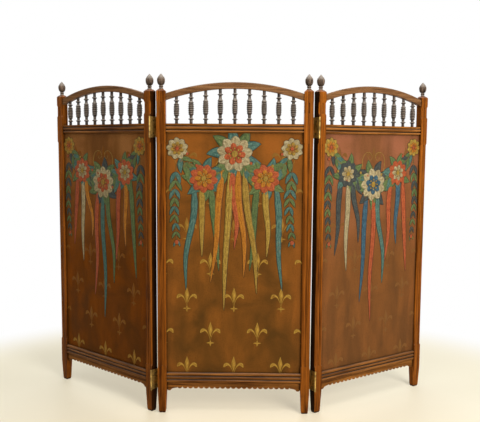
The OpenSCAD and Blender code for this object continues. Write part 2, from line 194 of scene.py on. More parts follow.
def build_dust_sheen_and_shade():
    """A painted highlight with dust on what faces up, the polish left there, and painted shade below and low
    down.
    """
    tree, given, out = start_group(
        "dust sheen and painted shade", {"Dusty": "Float", "Shine": "Float", "Dull": "Float"},
        {"Dust": "Float", "Underside_shade": "Float", "Polish": "Float", "Low": "Float"},
    )
    upward = add(tree, "SeparateXYZ", {0: add(tree, "NewGeometry").outputs["Normal"]}).outputs["Z"]
    height = add(tree, "SeparateXYZ", {0: add(tree, "TexCoord").outputs["Object"]}).outputs["Z"]
    # Dust and a painted highlight on what faces up, painted shade on what faces down.
    tree.links.new(spread(tree, upward, 0.05, 0.70, 0.0, given["Dusty"]), out["Dust"])
    tree.links.new(spread(tree, upward, -0.05, -0.50, 0.0, given["Dusty"]), out["Underside_shade"])
    tree.links.new(spread(tree, upward, 0.10, 0.90, 0.0, given["Shine"]), out["Polish"])
    # Painted shade low down.
    tree.links.new(spread(tree, height, LOW_SHADE_ABOVE, LOW_SHADE_BELOW, 0.0, given["Dull"]), out["Low"])
    return tree


WOOD_FIGURE = build_wood_figure()
WORN_EDGES = build_worn_edges()
DUST_SHEEN_AND_SHADE = build_dust_sheen_and_shade()


def start_finish(name):
    """A new material, its node tree and its shader."""
    made = bpy.data.materials.new(name)
    made.use_nodes = True
    return made, made.node_tree, made.node_tree.nodes["Principled BSDF"]


def set_surface(tree, shader, colour, rough, height, strength, depth, specular):
    """Feeds the shader its colour, its roughness and the relief of its surface."""
    relief = add(tree, "Bump", {"Height": height, "Strength": strength, "Distance": depth})
    tree.links.new(colour, shader.inputs["Base Color"])
    tree.links.new(rough, shader.inputs["Roughness"])
    tree.links.new(relief.outputs[0], shader.inputs["Normal"])
    shader.inputs["Specular IOR Level"].default_value = specular


def polished_wood(name, dark, light, stretch, turn=0.0, rubbed=1.6, dirt=GRIME_AND_SHADE, gloss=0.30, shine=0.50,
                  upright=0.04, reach=HOLLOW_REACH, grime_and_shade=0.95, dust_and_shading=0.10, dull=0.0, shaded_side=None):
    """Figured wood with rubbed edges, and dirt and painted shade in its hollows. What faces up keeps a coat
    of polish, a little dust and a painted highlight, and what faces down gets painted shade. dull says how
    much painted shade darkens it low down, and a side between the folds that faces the given way is
    painted nearly black as painted shade."""
    made, tree, shader = start_finish(name)
    wood = place_group(tree, WOOD_FIGURE, Stretch=stretch, Turn=turn)
    worn = place_group(tree, WORN_EDGES, Width=EDGE_WIDTH, Reach=reach)
    settled = place_group(tree, DUST_SHEEN_AND_SHADE, Dusty=dust_and_shading, Shine=shine, Dull=dull)
    colour = tint(tree, wood["Figure"], dark, light)
    colour = lay_on(tree, colour, wood["Cloud"], CLOUDED, light)
    colour = lay_on(tree, colour, wood["Pores"], PORES_SHOW, dirt)
    colour = lay_on(tree, colour, worn["Edge"], EDGES_SHOW, [c * rubbed for c in light])
    # Dirt and painted shade in the hollows.
    colour = lay_on(tree, colour, worn["Hollow"], grime_and_shade, dirt)
    # Painted shade: a side between the folds is painted nearly black.
    if shaded_side:
        facing = add(tree, "VectorMath", {
            0: add(tree, "TexCoord").outputs["Normal"], 1: shaded_side,
        }, operation="DOT_PRODUCT").outputs["Value"]
        colour = tint(tree, spread(tree, facing, 0.80, 0.95, 0.0, SIDE_SHADE_SHOWS), colour, dirt)
    # Painted shade, darker low down.
    colour = tint(tree, settled["Low"], colour, dirt)
    # Dust and a painted highlight on what faces up, painted shade on what faces down.
    colour = tint(tree, settled["Dust"], colour, DUST_AND_SHEEN)
    colour = tint(tree, settled["Underside_shade"], colour, dirt)
    rough = reckon(tree, "ADD", spread(tree, wood["Cloud"], 0.0, 1.0, gloss, gloss + UNEVEN_GLOSS),
                   reckon(tree, "MULTIPLY", worn["Hollow"], HOLLOW_ROUGH))
    set_surface(tree, shader, colour, rough, wood["Pores"], 0.25, PORE_DEPTH, upright)
    tree.links.new(settled["Polish"], shader.inputs["Coat Weight"])
    shader.inputs["Coat Roughness"].default_value = gloss
    return made


def finish_node(node, finish):
    """Gives a node of the frame its finish."""
    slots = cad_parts[node].data.materials
    slots.clear()
    slots.append(finish)


for fold in FOLDS:
    first, second = (sum(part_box(post + "_post"), Vector()) / 2 for post in FOLD_POSTS[fold])
    for post, outward in zip(FOLD_POSTS[fold], (first - second, second - first)):
        # The inner posts' sides at the hinges get painted shade.
        shaded_side = None if post.endswith("outer") else outward.normalized()
        finish_node(post + "_post", polished_wood(
            post + " post wood", POST_DARK, POST_LIGHT, POST_STRETCH, dull=POST_LOW_SHADE[fold],
            shaded_side=shaded_side
        ))

# FINIALS AND SPINDLES
# Six turned finials on the post tops and nine turned spindles in each gallery, in the same wood. Their beads
# were cut at the lathe and polished nearly black, with dirt and painted shade in the grooves and painted
# shade under them, and grey dust with a painted highlight on their tops. The finials are painted lighter as a
# painted highlight.

TURNED_DARK = (0.020, 0.014, 0.010)
SPINDLE_LIGHT = (0.135, 0.090, 0.064)
FINIAL_SHEEN_LIGHT = (0.210, 0.140, 0.098)
TURNED_STRETCH = (110.0, 110.0, 12.0)

spindle_wood = polished_wood(
    "spindle wood", TURNED_DARK, SPINDLE_LIGHT, TURNED_STRETCH, rubbed=3.6, gloss=0.16, shine=1.0,
    upright=0.20, reach=0.009, grime_and_shade=3.6, dust_and_shading=0.75
)
# The finials take a lighter copy of the spindle wood, as a painted highlight.
finial_sheen_wood = polished_wood(
    "finial sheen wood", TURNED_DARK, FINIAL_SHEEN_LIGHT, TURNED_STRETCH, rubbed=2.0, gloss=0.18, shine=1.0,
    reach=0.006, grime_and_shade=1.5, dust_and_shading=0.55
)
for fold in FOLDS:
    finish_node(fold + "_spindles", spindle_wood)
    for post in FOLD_POSTS[fold]:
        finish_node(post + "_finial", finial_sheen_wood)

# ARCHES AND RAILS
# Each fold has a curved top rail, a moulded gallery rail and a reeded bottom rail of the same wood.
# They are tenoned between the posts, with their fibres running across the fold. The arches are painted greyer
# and lighter as a painted sheen of the light on them, and the rails darker low down as painted shade.

RAIL_STRETCH = (4.0, 130.0, 130.0)
RAIL_DARK = (0.070, 0.019, 0.0025)
RAIL_LIGHT = (0.368, 0.138, 0.026)
# Painted sheen: the arches' wood is greyer and lighter than the rails'.
ARCH_SHEEN_DARK = (0.075, 0.028, 0.009)
ARCH_SHEEN_LIGHT = (0.260, 0.125, 0.050)
BOARD_MIDDLE = sum(corner.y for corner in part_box("centre_board")) / 2


def fold_place(fold):
    """Matrix that takes a fold's own place (across, back, up) to the frame, from its board's corners."""
    corners = np.array([v.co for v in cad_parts[fold + "_board"].data.vertices])
    middle = (corners.min(0) + corners.max(0)) / 2
    across = np.linalg.svd(corners[:, :2] - middle[:2], full_matrices=False)[2][0]
    across = across * math.copysign(1.0, across[0])
    back = np.array([-across[1], across[0]])
    origin = middle[:2] - back * BOARD_MIDDLE
    return Matrix((
        (across[0], back[0], 0.0, origin[0]),
        (across[1], back[1], 0.0, origin[1]),
        (0.0, 0.0, 1.0, 0.0),
        (0.0, 0.0, 0.0, 1.0),
    ))


def fold_turn(fold):
    """Angle that turns the fold's width back onto X."""
    return -math.atan2(PLACES[fold][1][0], PLACES[fold][0][0])


PLACES = {fold: fold_place(fold) for fold in FOLDS}
rail_woods = {}
for fold in FOLDS:
    # The rails are painted darker low down, as painted shade.
    rail_woods[fold] = polished_wood(
        f"{fold} rail wood", RAIL_DARK, RAIL_LIGHT, RAIL_STRETCH, fold_turn(fold), grime_and_shade=1.7, dust_and_shading=0.06,
        dull=0.24
    )
    arch_sheen_wood = polished_wood(f"{fold} arch sheen wood", ARCH_SHEEN_DARK, ARCH_SHEEN_LIGHT, RAIL_STRETCH, fold_turn(fold))
    finish_node(fold + "_arched_rail", arch_sheen_wood)
    for piece in ("_gallery_rail", "_bottom_rail"):
        finish_node(fold + piece, rail_woods[fold])

# BACKING BOARDS
# A thin plain board stands in the grooves behind each leather, with its back left unpolished.
# It is pale brown and dry, with its grain upright.

BOARD_DARK = (0.110, 0.058, 0.028)
BOARD_LIGHT = (0.250, 0.150, 0.080)
BOARD_DIRT_AND_SHADE = (0.050, 0.030, 0.018)
BOARD_STRETCH = (38.0, 38.0, 1.6)

board_wood = polished_wood(
    "board wood", BOARD_DARK, BOARD_LIGHT, BOARD_STRETCH, rubbed=1.2, dirt=BOARD_DIRT_AND_SHADE, gloss=0.62, shine=0.04
)
for fold in FOLDS:
    finish_node(fold + "_board", board_wood)

# LEATHER
# One skin of thick brown leather to a fold, tooled and stained, stretched over the board and held
# with it in the grooves. The stain is clouded and warmer down the sides and at the top. Each fold's
# stain is tinted for the light on that fold as painted light: the left darker and redder, as painted
# shade and warm bounce, the right bluer, most at the top, as a painted reflection. Painted shade
# darkens it under the frame.

leather_low, leather_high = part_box("centre_leather")
LEATHER_FRONT = leather_low.y
LEATHER_W = leather_high.x - leather_low.x
LEATHER_H = leather_high.z - leather_low.z
LEATHER_T = leather_high.y - leather_low.y
LEATHER_STEP = 0.006
HALF_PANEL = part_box("centre_right_post")[0].x - PLACES["centre"][0][3]
PANEL_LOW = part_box("centre_bottom_rail")[1].z
PANEL_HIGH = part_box("centre_gallery_rail")[0].z
WAVE = 0.0003
WAVES_ACROSS = 7.0
WAVES_UP = 5.0

STAIN_DARK = (0.080, 0.034, 0.0064)
STAIN_BROWN = (0.204, 0.070, 0.0100)
STAIN_WARM = (0.225, 0.072, 0.0110)
# Painted light: each fold's stain is tinted for its light, left darker and redder, right bluer as a painted
# reflection; tops likewise.
FOLD_LIGHT_TINT = {"centre": (1.0, 1.0, 1.0), "left": (0.90, 0.68, 0.20), "right": (0.90, 0.96, 1.70)}
SKIN_EVEN = {"centre": 0.0, "left": 0.15, "right": 0.60}
SKIN_TOP_AS_LIT = {
    "centre": (0.255, 0.080, 0.0115), "left": (0.290, 0.125, 0.0380), "right": (0.265, 0.094, 0.0460),
}
PEBBLE = 620.0
PEBBLE_DEPTH = 0.0008
SIDES_WARM = 0.75
TOP_WARM = 0.90
LOW_DARK = 0.45
STREAKED = 0.45
SPECKED = 0.28
# Painted shade where the frame and the raised work stand over the leather, found by ambient occlusion.
FRAME_SHADE_REACH = 0.03
FRAME_SHADE_DARK = 0.80


def leather_wave(across, up):
    """How far the leather bellies forward of its plane, from nothing to WAVE."""
    here = Vector((across * WAVES_ACROSS, up * WAVES_UP, 3.0))
    return WAVE * (0.5 + 0.5 * noise.noise(here))


def build_leather_grain():
    """Pebbled grain, broad dents and the clouding of the stain, over a panel laid out in metres."""
    tree, given, out = start_group(
        "leather grain", {"Pebble": "Float"},
        {"Height": "Float", "Cloud": "Float", "Streak": "Float", "Speck": "Float"},
    )
    place = add(tree, "TexCoord").outputs["UV"]
    cells = add(tree, "TexVoronoi", {"Vector": place, "Scale": given["Pebble"]}, feature="F1")
    dents = grain_noise(tree, place, 60.0, 5.0)
    height = reckon(tree, "ADD", reckon(tree, "MULTIPLY", cells.outputs["Distance"], 0.35), dents)
    tall = add(tree, "VectorMath", {0: place, 1: (18.0, 3.5, 1.0)}, operation="MULTIPLY").outputs[0]
    tree.links.new(height, out["Height"])
    tree.links.new(spread(tree, grain_noise(tree, place, 6.0, 6.0, 0.6), 0.36, 0.62), out["Cloud"])
    tree.links.new(spread(tree, grain_noise(tree, tall, 1.0, 4.0, 0.4), 0.42, 0.70), out["Streak"])
    tree.links.new(spread(tree, grain_noise(tree, place, 260.0, 3.0), 0.50, 0.68), out["Speck"])
    return tree


LEATHER_GRAIN = build_leather_grain()


def lit_skin_stain(fold, stain):
    """A stain tinted for the light on one fold, as painted light."""
    return [c * s for c, s in zip(stain, FOLD_LIGHT_TINT[fold])]


def stained_leather(fold):
    """Leather stained from dark to warm, with the warm stain strongest down the sides and at the top."""
    dark, brown, warm = (lit_skin_stain(fold, stain) for stain in (STAIN_DARK, STAIN_BROWN, STAIN_WARM))
    made, tree, shader = start_finish(fold + " leather")
    grain = place_group(tree, LEATHER_GRAIN, Pebble=PEBBLE)
    place = add(tree, "SeparateXYZ", {0: add(tree, "TexCoord").outputs["UV"]}).outputs
    side = spread(tree, reckon(tree, "ABSOLUTE", place["X"]), HALF_PANEL * 0.62, HALF_PANEL)
    top = spread(tree, place["Y"], PANEL_LOW + 0.38, PANEL_LOW + 0.78)
    low = reckon(tree, "MULTIPLY", spread(tree, place["Y"], PANEL_LOW + 0.45, PANEL_LOW + 0.10), LOW_DARK)
    patchy = spread(tree, grain["Cloud"], 0.0, 1.0, 0.35, 1.0)
    shade = add(tree, "AmbientOcclusion", {"Distance": FRAME_SHADE_REACH}, samples=6).outputs["AO"]
    colour = tint(tree, spread(tree, grain["Cloud"], 0.0, 1.0, SKIN_EVEN[fold], 1.0), dark, brown)
    for part, most, stain in ((side, SIDES_WARM, warm), (top, TOP_WARM, SKIN_TOP_AS_LIT[fold])):
        colour = lay_on(tree, colour, reckon(tree, "MULTIPLY", part, most), patchy, stain)
    colour = lay_on(tree, colour, low, grain["Streak"], dark)
    colour = lay_on(tree, colour, grain["Streak"], STREAKED, dark)
    colour = lay_on(tree, colour, grain["Speck"], SPECKED, [c * 0.5 for c in dark])
    # Painted shade under the frame and the raised work.
    colour = tint(tree, spread(tree, shade, 0.95, 0.55, 0.0, FRAME_SHADE_DARK), colour, [c * 0.3 for c in dark])
    rough = spread(tree, grain["Cloud"], 0.0, 1.0, 0.44, 0.60)
    set_surface(tree, shader, colour, rough, grain["Height"], 0.40, PEBBLE_DEPTH, 0.03)
    return made


def lay_mesh(name, points, faces, marks, fold):
    """A smooth mesh from points in the fold's own place, with a mark (u, v) for each point."""
    mesh = bpy.data.meshes.new(name)
    mesh.from_pydata([tuple(p) for p in points], [], faces)
    layer = mesh.uv_layers.new(name="marks")
    at = np.empty(len(mesh.loops), dtype=np.int32)
    mesh.loops.foreach_get("vertex_index", at)
    layer.data.foreach_set("uv", np.array(marks, dtype=np.float32)[at].ravel())
    mesh.polygons.foreach_set("use_smooth", [True] * len(mesh.polygons))
    mesh.transform(PLACES[fold])
    made = bpy.data.objects.new(name, mesh)
    bpy.context.scene.collection.objects.link(made)
    return made


def stretch_leather(fold):
    """The leather as a fine sheet with its thickness behind it."""
    columns = round(LEATHER_W / LEATHER_STEP)
    rows = round(LEATHER_H / LEATHER_STEP)
    points, marks = [], []
    for j in range(rows + 1):
        up = leather_low.z + LEATHER_H * j / rows
        for i in range(columns + 1):
            across = LEATHER_W * (i / columns - 0.5)
            points.append((across, LEATHER_FRONT - leather_wave(across, up) + WAVE, up))
            marks.append((across, up))
    faces = []
    for j in range(rows):
        for i in range(columns):
            corner = j * (columns + 1) + i
            faces.append((corner, corner + 1, corner + columns + 2, corner + columns + 1))
    skin = lay_mesh(f"{fold}_leather_skin", points, faces, marks, fold)
    skin.data.materials.append(stained_leather(fold))
    thick = skin.modifiers.new("thickness", "SOLIDIFY")
    thick.thickness = LEATHER_T - WAVE
    thick.offset = -1.0
    return skin


def fix_to_leather(piece, fold):
    """Carries a piece of leatherwork on its fold."""
    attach(piece, FOLD_BODY[fold])


skins = {fold: stretch_leather(fold) for fold in FOLDS}
for fold in FOLDS:
    fix_to_leather(skins[fold], fold)
    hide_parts(fold + "_leather")

# GILT POWDERING
# Rows of small gilt fleurs-de-lis, each with a little cross below it, set half a step apart from row
# to row. They were stamped on the leather with gold size, and they are worn thin higher up and nearly
# gone on the wings.

GILT_STEP = 0.167
GILT_RISE = 0.125
GILT_FIRST = PANEL_LOW + 0.0085
GILT_LEFT = {
    "centre": (0.92, 0.95, 0.92, 0.88, 0.50, 0.36, 0.25),
    "left": (0.62, 0.20, 0.14, 0.10, 0.08, 0.08, 0.08),
    "right": (0.07, 0.05, 0.05, 0.05, 0.04, 0.04, 0.04),
}
GILT_BRIGHT = (0.425, 0.248, 0.038)
GILT_DULL = (0.184, 0.090, 0.011)
GILT_LIFT = 0.00010
GILT_DOME = 0.00030
GILT_DEPTH = 0.0003
FLEUR_SPEAR = (((0, -2), (0, 16), (0, 34), (0, 51)), (1.0, 3.4, 7.4, 9.4, 8.4, 5.6, 2.8, 0.2))
FLEUR_PETAL = (
    ((3, -4), (7, 6), (13, 16), (21, 22), (29, 20), (35, 11)), (0.5, 1.2, 1.8, 3.0, 4.8, 7.2, 6.6, 1.8)
)
FLEUR_STALK = (((3.2, 0), (1.4, -15)), (0.9, 0.6))
CROSS_ARM = (((0.5, -26), (7, -25.2), (14, -26)), (1.6, 3.4, 2.4, 0.2))
CROSS_FOOT = (((0, -25), (0, -31), (0, -38)), (1.6, 3.6, 0.2))
CROSS_HEAD = (((0, -25), (0, -20), (0, -15)), (1.4, 3.0, 0.2))
MILLIMETRE = 0.001
STROKE_POINTS = 11
STRIP_ACROSS = (-1.0, -0.9, -0.5, 0.0, 0.5, 0.9, 1.0)
SUNK = 0.0004


def smooth_line(knots, count):
    """Points along a smooth curve through the knots."""
    knots = np.array(knots, dtype=float)
    ends = np.vstack([2 * knots[0] - knots[1], knots, 2 * knots[-1] - knots[-2]])
    out = []
    for t in np.linspace(0, len(knots) - 1, count):
        k = min(int(t), len(knots) - 2)
        f = t - k
        a, b, c, d = ends[k:k + 4]
        bend, twist = 2 * a - 5 * b + 4 * c - d, 3 * b - a - 3 * c + d
        out.append(0.5 * (2 * b + (c - a) * f + bend * f ** 2 + twist * f ** 3))
    return np.array(out)


def start_work():
    """An empty piece of relief work: points and their marks and tones, faces and the paint of each."""
    return {"points": [], "faces": [], "marks": [], "paint": [], "tone": []}


def strip(work, spine, half, lift, dome, paint, tone=0.5, crease=0.0):
    """A domed strip along a spine of (across, up) points, sunk into the leather along its two edges."""
    spine, half = np.array(spine), np.maximum(np.array(half, dtype=float), 0.00012)
    along = np.gradient(spine, axis=0)
    along /= np.maximum(np.linalg.norm(along, axis=1, keepdims=True), 1e-9)
    left = np.stack([-along[:, 1], along[:, 0]], axis=1)
    reach = np.concatenate([[0.0], np.cumsum(np.linalg.norm(np.diff(spine, axis=0), axis=1))])
    fullness = half / half.max()
    first = len(work["points"])
    for p, n, w, s, full in zip(spine, left, half, reach, fullness):
        for v in STRIP_ACROSS:
            across, up = p + n * w * v
            raised = lift + dome * full * math.sqrt(1 - v * v) - crease * full * (v == 0.0)
            height = -SUNK if abs(v) == 1.0 else leather_wave(across, up) - WAVE + raised
            work["points"].append((across, LEATHER_FRONT - height, up))
            work["marks"].append((s, v))
            work["tone"].append(tone)
    wide = len(STRIP_ACROSS)
    for i in range(len(spine) - 1):
        for j in range(wide - 1):
            a = first + i * wide + j
            work["faces"].append((a, a + wide, a + wide + 1, a + 1))
            work["paint"].append(paint)


def fleur(work, across, up, tone):
    """One fleur-de-lis with its cross. The place given is where its three petals meet."""
    strokes = [(1, FLEUR_SPEAR)]
    strokes += [(side, part) for side in (-1, 1) for part in (FLEUR_PETAL, FLEUR_STALK, CROSS_ARM)]
    strokes += [(1, CROSS_FOOT), (1, CROSS_HEAD)]
    for side, (knots, widths) in strokes:
        half = np.interp(np.linspace(0, 1, STROKE_POINTS), np.linspace(0, 1, len(widths)), widths)
        line = smooth_line([(side * x, z) for x, z in knots], STROKE_POINTS)
        spine = line * MILLIMETRE + np.array([across, up])
        strip(work, spine, half * MILLIMETRE, GILT_LIFT, GILT_DOME, "gilt", tone)


def build_paint_marks():
    """Brush streaks along a stroke, the veins of a leaf, and wear that lets the leather through."""
    tree, given, out = start_group(
        "paint marks", {"Streaks": "Float", "Worn": "Float"},
        {"Streak": "Float", "Vein": "Float", "Wear": "Float", "Rim": "Float", "Speck": "Float"},
    )
    mark = add(tree, "TexCoord").outputs["UV"]
    parts = add(tree, "SeparateXYZ", {0: mark}).outputs
    long = add(tree, "CombineXYZ", {
        "X": reckon(tree, "MULTIPLY", parts["X"], 55.0),
        "Y": reckon(tree, "MULTIPLY", parts["Y"], given["Streaks"]),
    }).outputs[0]
    from_middle = reckon(tree, "ABSOLUTE", parts["Y"])
    slant = reckon(tree, "SUBTRACT", reckon(tree, "MULTIPLY", parts["X"], 900.0),
                   reckon(tree, "MULTIPLY", from_middle, 5.0))
    side_vein = spread(tree, reckon(tree, "SINE", slant), 0.75, 1.0)
    middle_vein = spread(tree, from_middle, 0.10, 0.03)
    veins = reckon(tree, "MAXIMUM", middle_vein, reckon(tree, "MULTIPLY", side_vein, 0.6))
    place = add(tree, "TexCoord").outputs["Object"]
    patches = reckon(tree, "MULTIPLY", grain_noise(tree, place, 14.0, 3.0), 0.5)
    rubbed = reckon(tree, "ADD", grain_noise(tree, place, 90.0, 6.0), patches)
    tree.links.new(spread(tree, grain_noise(tree, long, 1.0, 4.0), 0.35, 0.65), out["Streak"])
    tree.links.new(veins, out["Vein"])
    tree.links.new(spread(tree, reckon(tree, "ADD", rubbed, given["Worn"]), 0.86, 1.02), out["Wear"])
    tree.links.new(spread(tree, from_middle, 0.55, 0.98), out["Rim"])
    tree.links.new(spread(tree, grain_noise(tree, place, 210.0, 3.0), 0.50, 0.60), out["Speck"])
    return tree


PAINT_MARKS = build_paint_marks()


def worn_gilt(fold):
    """Dull gold on a fold's leather. Each motif's own tone says how much of it is left."""
    made, tree, shader = start_finish(fold + " worn gilt")
    dark, brown = (lit_skin_stain(fold, stain) for stain in (STAIN_DARK, STAIN_BROWN))
    grain = place_group(tree, LEATHER_GRAIN, Pebble=PEBBLE)
    leather = tint(tree, spread(tree, grain["Streak"], 0.0, 1.0, 0.36, 0.62), brown, dark)
    marks = place_group(tree, PAINT_MARKS, Streaks=2.5, Worn=0.02)
    tone = add(tree, "Attribute", attribute_name="tone").outputs["Fac"]
    bare = reckon(tree, "MAXIMUM", marks["Wear"], reckon(tree, "SUBTRACT", 1.0, tone))
    colour = tint(tree, marks["Streak"], GILT_DULL, GILT_BRIGHT)
    colour = lay_on(tree, colour, marks["Rim"], 0.75, dark)
    colour = lay_on(tree, colour, bare, 0.96, leather)
    rough = spread(tree, marks["Streak"], 0.0, 1.0, 0.38, 0.55)
    set_surface(tree, shader, colour, rough, marks["Streak"], 0.20, GILT_DEPTH, 0.06)
    return made


def finish_work(name, fold, work, paints):
    """Makes the relief work into one mesh on the fold, cut off where the frame covers it."""
    made = lay_mesh(name, work["points"], work["faces"], work["marks"], fold)
    mesh = made.data
    tone = mesh.attributes.new("tone", "FLOAT", "POINT")
    tone.data.foreach_set("value", np.array(work["tone"], dtype=np.float32))
    order = list(paints)
    for paint in order:
        mesh.materials.append(paints[paint])
    mesh.polygons.foreach_set("material_index", [order.index(p) for p in work["paint"]])
    cut = bmesh.new()
    cut.from_mesh(mesh)
    place = PLACES[fold]
    middle = place @ Vector((0.0, 0.0, (PANEL_LOW + PANEL_HIGH) / 2))
    sides = [(place.to_3x3() @ Vector((s, 0.0, 0.0)), HALF_PANEL) for s in (-1.0, 1.0)]
    sides += [(Vector((0.0, 0.0, s)), (PANEL_HIGH - PANEL_LOW) / 2) for s in (-1.0, 1.0)]
    for outward, reach in sides:
        everything = cut.verts[:] + cut.edges[:] + cut.faces[:]
        bmesh.ops.bisect_plane(cut, geom=everything, plane_co=middle + outward * reach,
                               plane_no=outward, clear_outer=True)
    cut.to_mesh(mesh)
    cut.free()
    fix_to_leather(made, fold)
    return made


for fold in FOLDS:
    work = start_work()
    for row, left in enumerate(GILT_LEFT[fold]):
        columns = (-1, 0, 1) if row % 2 == 0 else (-1.5, -0.5, 0.5, 1.5)
        for column in columns:
            fleur(work, column * GILT_STEP, GILT_FIRST + row * GILT_RISE, left)
    finish_work(f"{fold}_gilt_powdering", fold, work, {"gilt": worn_gilt(fold)})

# PAINTED GARLANDS
# Across the upper leather hangs a garland of leaves and blossoms, with long leaves falling from it.
# It was tooled into the leather with dark outlines, modelled a little from behind and painted.

PAINTS = {
    "ink": ((0.020, 0.009, 0.004), (0.034, 0.015, 0.006)),
    "stem": ((0.090, 0.060, 0.018), (0.200, 0.130, 0.040)),
    "green": ((0.048, 0.078, 0.024), (0.160, 0.195, 0.066)),
    "teal": ((0.028, 0.076, 0.060), (0.118, 0.200, 0.150)),
    "coral": ((0.230, 0.040, 0.012), (0.470, 0.115, 0.036)),
    "orange": ((0.270, 0.085, 0.008), (0.520, 0.220, 0.020)),
    "gold": ((0.200, 0.108, 0.015), (0.440, 0.285, 0.050)),
    "cream": ((0.220, 0.160, 0.072), (0.480, 0.400, 0.225)),
    "slate": ((0.024, 0.027, 0.023), (0.080, 0.085, 0.074)),
    "blue": ((0.017, 0.046, 0.070), (0.070, 0.140, 0.168)),
}
PAINT_DEPTH = 0.0004
INK_WIDTH = 0.0014
INK_TIP = 0.0002
LAYER = 0.00015
LEAF_DOME = 0.0007
LEAF_CREASE = 0.00025
LEAF_POINTS = 11
PETAL_DOME = 0.0008
PETAL_CREASE = 0.0003
PETAL_POINTS = 9
STRAP_POINTS = 26
CURL_POINTS = 30
BERRY = 0.0055
BUD = 0.0080
STEM_HALF = {"swag": 0.0022, "spray": 0.0014}
STEM_DOME = {"swag": 0.0008, "spray": 0.0006}
CURL_HALF = (0.0011, 0.0005)
CURL_DOME = 0.0005

GARLAND_TOP = {"centre": PANEL_HIGH - 0.066, "wing": PANEL_HIGH - 0.055}
GARLAND_SAG = {"centre": 0.088, "wing": 0.125}
CENTRE_BLOSSOMS = {"middle": 0.062, "foot": 0.050, "shoulder": 0.038}
WING_BLOSSOMS = {"foot": 0.060, "shoulder": 0.048, "corner": 0.034}
STRAP_W = {"swag": 0.025, "middle": 0.027, "wing": 0.026}
SPRAY_LEAF = {"centre": 0.046, "wing": 0.044}
SPRAY_DROP = {"centre": 0.27, "wing": 0.30}
SWAG_LEAF = 0.064
SWAG_MIDDLE = 0.108
CENTRE_SHOULDER = 0.200
WING_SHOULDER = 0.126
WING_CORNER = 0.210
SWAG_STRAPS = ((-0.030, 0.33, "green"), (0.028, 0.40, "teal"), (0.000, 0.28, "gold"))
MIDDLE_STRAPS = (
    (-0.044, 0.43, "orange"), (0.042, 0.47, "gold"), (-0.019, 0.53, "gold"), (0.018, 0.41, "orange"),
    (0.000, 0.31, "coral"),
)
WING_COLOURS = {
    "left": (("coral", "teal", "green"), ("coral", "cream", "orange"), ("coral", "orange", "green")),
    "right": (("blue", "coral", "teal"), ("slate", "cream", "slate"), ("coral", "blue", "coral")),
}
FIRST_SEED = 11


def old_paint(name, shades):
    """Old paint over tooled leather: streaked, darker at its rim and along its veins, and worn."""
    made, tree, shader = start_finish(name)
    marks = place_group(tree, PAINT_MARKS, Streaks=3.5, Worn=-0.06)
    tone = add(tree, "Attribute", attribute_name="tone").outputs["Fac"]
    darker = [c * 0.5 for c in shades[0]]
    colour = tint(tree, marks["Streak"], *shades)
    for mask, most, second in (
        (tone, 0.45, shades[0]),
        (marks["Rim"], 0.65, [c * 0.45 for c in shades[0]]),
        (marks["Vein"], 0.55, darker),
        (marks["Speck"], 0.45, darker),
        (marks["Wear"], 0.70, STAIN_BROWN),
    ):
        colour = lay_on(tree, colour, mask, most, second)
    rough = spread(tree, marks["Streak"], 0.0, 1.0, 0.45, 0.62)
    set_surface(tree, shader, colour, rough, marks["Streak"], 0.30, PAINT_DEPTH, 0.12)
    return made


def outlined(work, spine, half, layer, dome, paint, tone, crease=0.0):
    """A painted strip with its tooled outline round it."""
    spine = np.array(spine)
    tip = spine[-1] - spine[-2]
    root = spine[0] - spine[1]
    longer = np.vstack([
        spine[0] + root / np.linalg.norm(root) * INK_WIDTH, spine,
        spine[-1] + tip / np.linalg.norm(tip) * INK_WIDTH,
    ])
    wider = np.concatenate([[INK_TIP], np.array(half) + INK_WIDTH, [INK_TIP]])
    strip(work, longer, wider, layer * LAYER, LAYER * 0.5, "ink")
    strip(work, spine, half, (layer + 1) * LAYER, dome, paint, tone, crease)


def arc_line(start, heading, length, bend, count=LEAF_POINTS):
    """Points along a bending line. Headings are angles from the right, turning to the left."""
    out = [np.array(start, dtype=float)]
    for k in range(count - 1):
        angle = heading + bend * (k + 0.5) / (count - 1)
        out.append(out[-1] + np.array([math.cos(angle), math.sin(angle)]) * length / (count - 1))
    return np.array(out)


def leaf(work, dice, start, heading, length, width, bend, paint, layer=2):
    """A bent leaf, full near its root and pointed, with a crease along it."""
    spine = arc_line(start, heading, length, bend)
    half = [width / 2 * math.sin(math.pi * u ** 0.8) ** 0.85 for u in np.linspace(0.02, 1, len(spine))]
    height = layer + dice.random() * 0.8
    outlined(work, spine, half, height, LEAF_DOME, paint, dice.random(), LEAF_CREASE)


def strap(work, dice, start, length, width, lean, paint, layer):
    """A long hanging leaf, widest in its upper half, that sways to a thin point."""
    sway = dice.uniform(-0.010, 0.010)
    knots = [(0, 0), (lean * 0.30 + sway, -0.32), (lean * 0.70 - sway, -0.68), (lean, -1.0)]
    spine = smooth_line([(start[0] + x, start[1] + z * length) for x, z in knots], STRAP_POINTS)
    along = np.linspace(0, 0.995, STRAP_POINTS)
    half = [width / 2 * min(1.0, 0.25 + 3.2 * u) * (1 - u ** 2.2) ** 0.75 for u in along]
    outlined(work, spine, half, layer, PETAL_DOME, paint, dice.random(), PETAL_CREASE)


def bead_dot(work, centre, radius, layer, paint, tone=0.5):
    """A small round stud of paint."""
    across = np.linspace(-1, 1, PETAL_POINTS)
    spine = [(centre[0], centre[1] + radius * s) for s in across]
    half = [radius * math.sqrt(max(0.0, 1 - s * s)) for s in across]
    outlined(work, spine, half, layer, PETAL_DOME, paint, tone)


